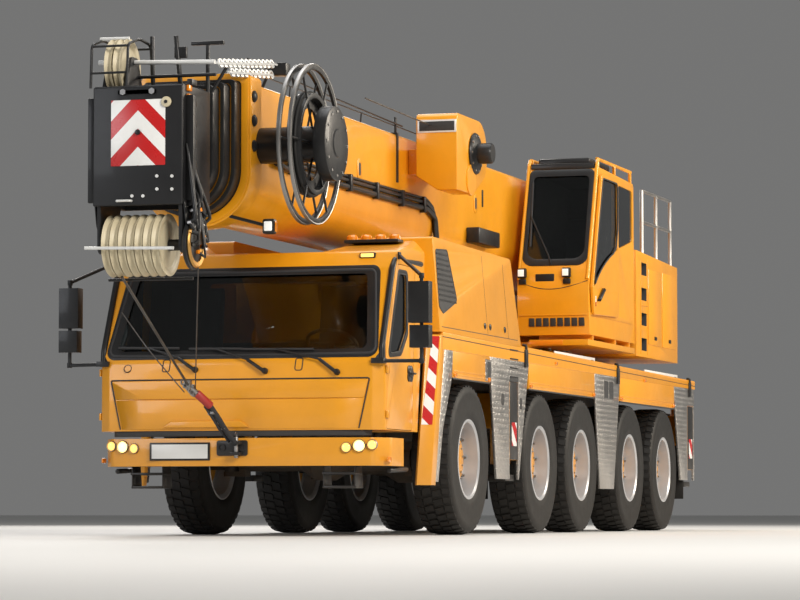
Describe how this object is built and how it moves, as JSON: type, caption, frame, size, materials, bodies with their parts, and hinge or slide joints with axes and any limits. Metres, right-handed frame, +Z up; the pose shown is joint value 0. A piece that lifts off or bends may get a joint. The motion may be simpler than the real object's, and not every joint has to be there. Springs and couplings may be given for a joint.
{
  "type": "all-terrain mobile crane",
  "caption": "Road-going telescopic crane on a multi-axle carrier, with slewing upper works, luffing boom, outriggers, carrier cab and crane cab, parked with its boom over the cab.",
  "frame": {"origin": "on the ground under the middle of the parked crane", "axes": "+X forward over the carrier cab, +Y to the crane's left, +Z up"},
  "size_m": [14.42, 3.36, 4.0049],
  "materials": {
    "yellow_paint": "gloss yellow body paint",
    "dark_paint": "satin black and dark grey paint",
    "chassis_paint": "dark chassis paint",
    "tyre_rubber": "road tyre on a silver disc wheel",
    "chequer_plate": "bare aluminium chequer plate",
    "window_glass": "tinted safety glass",
    "cab_trim": "dark moulded trim and seats",
    "cylinder_rod": "polished piston rod",
    "sheave_nylon": "cream cast nylon",
    "drum_steel": "rope-worn steel",
    "cast_metal": "cast engine and axle metal"
  },
  "bodies": {
    "carrier": {"chassis_frame": "chassis_paint", "deck": "yellow_paint", "chequer_panels": "chequer_plate", "fender_bands": "yellow_paint", "axle_beams": "chassis_paint", "carrier_cab": "yellow_paint", "carrier_cab_glass": "window_glass", "cab_interior": "cab_trim", "front_bumper": "yellow_paint", "mirrors": "dark_paint", "engine_block": "cast_metal", "engine_covers": "yellow_paint"},
    "superstructure": {"superstructure_frame": "yellow_paint", "side_housings": "yellow_paint", "hoist_drum": "drum_steel", "crane_cab": "yellow_paint", "crane_cab_glass": "window_glass", "crane_cab_guards": "yellow_paint", "crane_cab_interior": "cab_trim"},
    "boom": {"boom_base": "yellow_paint", "hose_drum": "dark_paint", "reeving_winch": "yellow_paint"},
    "boom_tip": {"boom_fly": "dark_paint", "head_sheaves": "sheave_nylon"},
    "knuckle_1_left": {"knuckle_1_left": "cast_metal"},
    "wheel_1_left": {"wheel_1_left": "tyre_rubber"},
    "knuckle_1_right": {"knuckle_1_right": "cast_metal"},
    "wheel_1_right": {"wheel_1_right": "tyre_rubber"},
    "knuckle_2_left": {"knuckle_2_left": "cast_metal"},
    "wheel_2_left": {"wheel_2_left": "tyre_rubber"},
    "knuckle_2_right": {"knuckle_2_right": "cast_metal"},
    "wheel_2_right": {"wheel_2_right": "tyre_rubber"},
    "wheel_3_left": {"wheel_3_left": "tyre_rubber"},
    "wheel_3_right": {"wheel_3_right": "tyre_rubber"},
    "knuckle_4_left": {"knuckle_4_left": "cast_metal"},
    "wheel_4_left": {"wheel_4_left": "tyre_rubber"},
    "knuckle_4_right": {"knuckle_4_right": "cast_metal"},
    "wheel_4_right": {"wheel_4_right": "tyre_rubber"},
    "knuckle_5_left": {"knuckle_5_left": "cast_metal"},
    "wheel_5_left": {"wheel_5_left": "tyre_rubber"},
    "knuckle_5_right": {"knuckle_5_right": "cast_metal"},
    "wheel_5_right": {"wheel_5_right": "tyre_rubber"},
    "boom_section_1": {"boom_section_1": "dark_paint"},
    "boom_section_2": {"boom_section_2": "dark_paint"},
    "boom_section_3": {"boom_section_3": "dark_paint"},
    "boom_section_4": {"boom_section_4": "dark_paint"},
    "lift_cylinder_barrel": {"lift_cylinder_barrel": "yellow_paint"},
    "lift_cylinder_rod": {"lift_cylinder_rod": "cylinder_rod"},
    "cab_door_left": {"cab_door_left": "yellow_paint"},
    "cab_door_right": {"cab_door_right": "yellow_paint"},
    "crane_cab_door": {"crane_cab_door": "yellow_paint"},
    "outrigger_beam_front_left": {"outrigger_beam_front_left": "yellow_paint"},
    "outrigger_jack_front_left": {"outrigger_jack_front_left": "cylinder_rod"},
    "outrigger_beam_front_right": {"outrigger_beam_front_right": "yellow_paint"},
    "outrigger_jack_front_right": {"outrigger_jack_front_right": "cylinder_rod"},
    "outrigger_beam_rear_left": {"outrigger_beam_rear_left": "yellow_paint"},
    "outrigger_jack_rear_left": {"outrigger_jack_rear_left": "cylinder_rod"},
    "outrigger_beam_rear_right": {"outrigger_beam_rear_right": "yellow_paint"},
    "outrigger_jack_rear_right": {"outrigger_jack_rear_right": "cylinder_rod"}
  },
  "joints": [
    {"name": "steer_1_left", "type": "hinge", "parent": "carrier", "child": "knuckle_1_left", "pos_m": [2.41, 0.93, 0.685], "axis": [0, 0, 1], "range_deg": [-30, 30]},
    {"name": "roll_1_left", "type": "hinge", "parent": "knuckle_1_left", "child": "wheel_1_left", "pos_m": [2.41, 1.1875, 0.685], "axis": [0, 1, 0], "continuous": true},
    {"name": "steer_1_right", "type": "hinge", "parent": "carrier", "child": "knuckle_1_right", "pos_m": [2.41, -0.93, 0.685], "axis": [0, 0, 1], "range_deg": [-30, 30]},
    {"name": "roll_1_right", "type": "hinge", "parent": "knuckle_1_right", "child": "wheel_1_right", "pos_m": [2.41, -1.1875, 0.685], "axis": [0, 1, 0], "continuous": true},
    {"name": "steer_2_left", "type": "hinge", "parent": "carrier", "child": "knuckle_2_left", "pos_m": [-0.12, 0.93, 0.685], "axis": [0, 0, 1], "range_deg": [-21.6, 21.6]},
    {"name": "roll_2_left", "type": "hinge", "parent": "knuckle_2_left", "child": "wheel_2_left", "pos_m": [-0.12, 1.1875, 0.685], "axis": [0, 1, 0], "continuous": true},
    {"name": "steer_2_right", "type": "hinge", "parent": "carrier", "child": "knuckle_2_right", "pos_m": [-0.12, -0.93, 0.685], "axis": [0, 0, 1], "range_deg": [-21.6, 21.6]},
    {"name": "roll_2_right", "type": "hinge", "parent": "knuckle_2_right", "child": "wheel_2_right", "pos_m": [-0.12, -1.1875, 0.685], "axis": [0, 1, 0], "continuous": true},
    {"name": "roll_3_left", "type": "hinge", "parent": "carrier", "child": "wheel_3_left", "pos_m": [-1.77, 1.1875, 0.685], "axis": [0, 1, 0], "continuous": true},
    {"name": "roll_3_right", "type": "hinge", "parent": "carrier", "child": "wheel_3_right", "pos_m": [-1.77, -1.1875, 0.685], "axis": [0, 1, 0], "continuous": true},
    {"name": "steer_4_left", "type": "hinge", "parent": "carrier", "child": "knuckle_4_left", "pos_m": [-3.92, 0.93, 0.685], "axis": [0, 0, 1], "range_deg": [-10.5, 10.5]},
    {"name": "roll_4_left", "type": "hinge", "parent": "knuckle_4_left", "child": "wheel_4_left", "pos_m": [-3.92, 1.1875, 0.685], "axis": [0, 1, 0], "continuous": true},
    {"name": "steer_4_right", "type": "hinge", "parent": "carrier", "child": "knuckle_4_right", "pos_m": [-3.92, -0.93, 0.685], "axis": [0, 0, 1], "range_deg": [-10.5, 10.5]},
    {"name": "roll_4_right", "type": "hinge", "parent": "knuckle_4_right", "child": "wheel_4_right", "pos_m": [-3.92, -1.1875, 0.685], "axis": [0, 1, 0], "continuous": true},
    {"name": "steer_5_left", "type": "hinge", "parent": "carrier", "child": "knuckle_5_left", "pos_m": [-5.57, 0.93, 0.685], "axis": [0, 0, 1], "range_deg": [-19.5, 19.5]},
    {"name": "roll_5_left", "type": "hinge", "parent": "knuckle_5_left", "child": "wheel_5_left", "pos_m": [-5.57, 1.1875, 0.685], "axis": [0, 1, 0], "continuous": true},
    {"name": "steer_5_right", "type": "hinge", "parent": "carrier", "child": "knuckle_5_right", "pos_m": [-5.57, -0.93, 0.685], "axis": [0, 0, 1], "range_deg": [-19.5, 19.5]},
    {"name": "roll_5_right", "type": "hinge", "parent": "knuckle_5_right", "child": "wheel_5_right", "pos_m": [-5.57, -1.1875, 0.685], "axis": [0, 1, 0], "continuous": true},
    {"name": "slew", "type": "hinge", "parent": "carrier", "child": "superstructure", "pos_m": [-3.54, 0, 1.792], "axis": [0, 0, 1], "continuous": true},
    {"name": "luff", "type": "hinge", "parent": "superstructure", "child": "boom", "pos_m": [-5.84, 0, 3.45], "axis": [0, -1, 0], "range_deg": [0, 82]},
    {"name": "telescope_1", "type": "slide", "parent": "boom", "child": "boom_section_1", "axis": [1, 0, 0], "range_m": [0, 9.3]},
    {"name": "telescope_2", "type": "slide", "parent": "boom_section_1", "child": "boom_section_2", "axis": [1, 0, 0], "range_m": [0, 9.3]},
    {"name": "telescope_3", "type": "slide", "parent": "boom_section_2", "child": "boom_section_3", "axis": [1, 0, 0], "range_m": [0, 9.3]},
    {"name": "telescope_4", "type": "slide", "parent": "boom_section_3", "child": "boom_section_4", "axis": [1, 0, 0], "range_m": [0, 9.3]},
    {"name": "telescope_5", "type": "slide", "parent": "boom_section_4", "child": "boom_tip", "axis": [1, 0, 0], "range_m": [0, 9.3]},
    {"name": "cylinder_tilt", "type": "hinge", "parent": "superstructure", "child": "lift_cylinder_barrel", "pos_m": [-3.92, 0, 2.18], "axis": [0, -1, 0], "range_deg": [0, 87.25]},
    {"name": "cylinder_stroke", "type": "slide", "parent": "lift_cylinder_barrel", "child": "lift_cylinder_rod", "axis": [0.9977, 0, 0.0681], "range_m": [0, 2.9876]},
    {"name": "cab_door_left_hinge", "type": "hinge", "parent": "carrier", "child": "cab_door_left", "pos_m": [4.706, 1.302, 1.22], "axis": [0, 0, -1], "range_deg": [0, 70]},
    {"name": "cab_door_right_hinge", "type": "hinge", "parent": "carrier", "child": "cab_door_right", "pos_m": [4.706, -1.302, 1.22], "axis": [0, 0, 1], "range_deg": [0, 70]},
    {"name": "crane_cab_door_slide", "type": "slide", "parent": "superstructure", "child": "crane_cab_door", "axis": [-1, 0, 0], "range_m": [0, 0.78]},
    {"name": "slide_out_front_left", "type": "slide", "parent": "carrier", "child": "outrigger_beam_front_left", "axis": [0, 1, 0], "range_m": [0, 1.7]},
    {"name": "jack_down_front_left", "type": "slide", "parent": "outrigger_beam_front_left", "child": "outrigger_jack_front_left", "axis": [0, 0, -1], "range_m": [0, 0.54]},
    {"name": "slide_out_front_right", "type": "slide", "parent": "carrier", "child": "outrigger_beam_front_right", "axis": [0, -1, 0], "range_m": [0, 1.7]},
    {"name": "jack_down_front_right", "type": "slide", "parent": "outrigger_beam_front_right", "child": "outrigger_jack_front_right", "axis": [0, 0, -1], "range_m": [0, 0.54]},
    {"name": "slide_out_rear_left", "type": "slide", "parent": "carrier", "child": "outrigger_beam_rear_left", "axis": [0, 1, 0], "range_m": [0, 1.7]},
    {"name": "jack_down_rear_left", "type": "slide", "parent": "outrigger_beam_rear_left", "child": "outrigger_jack_rear_left", "axis": [0, 0, -1], "range_m": [0, 0.54]},
    {"name": "slide_out_rear_right", "type": "slide", "parent": "carrier", "child": "outrigger_beam_rear_right", "axis": [0, -1, 0], "range_m": [0, 1.7]},
    {"name": "jack_down_rear_right", "type": "slide", "parent": "outrigger_beam_rear_right", "child": "outrigger_jack_rear_right", "axis": [0, 0, -1], "range_m": [0, 0.54]}
  ],
  "couplings": [
    {"joint": "steer_1_right", "follows": "steer_1_left", "ratio": 1},
    {"joint": "steer_2_left", "follows": "steer_1_left", "ratio": 0.72},
    {"joint": "steer_2_right", "follows": "steer_1_left", "ratio": 0.72},
    {"joint": "steer_4_left", "follows": "steer_1_left", "ratio": -0.35},
    {"joint": "steer_4_right", "follows": "steer_1_left", "ratio": -0.35},
    {"joint": "steer_5_left", "follows": "steer_1_left", "ratio": -0.65},
    {"joint": "steer_5_right", "follows": "steer_1_left", "ratio": -0.65},
    {"joint": "telescope_2", "follows": "telescope_1", "ratio": 1},
    {"joint": "telescope_3", "follows": "telescope_1", "ratio": 1},
    {"joint": "telescope_4", "follows": "telescope_1", "ratio": 1},
    {"joint": "telescope_5", "follows": "telescope_1", "ratio": 1},
    {"joint": "cylinder_tilt", "follows": "luff", "ratio": 1.0639},
    {"joint": "cylinder_stroke", "follows": "luff", "m_per_rad": 2.0868}
  ]
}
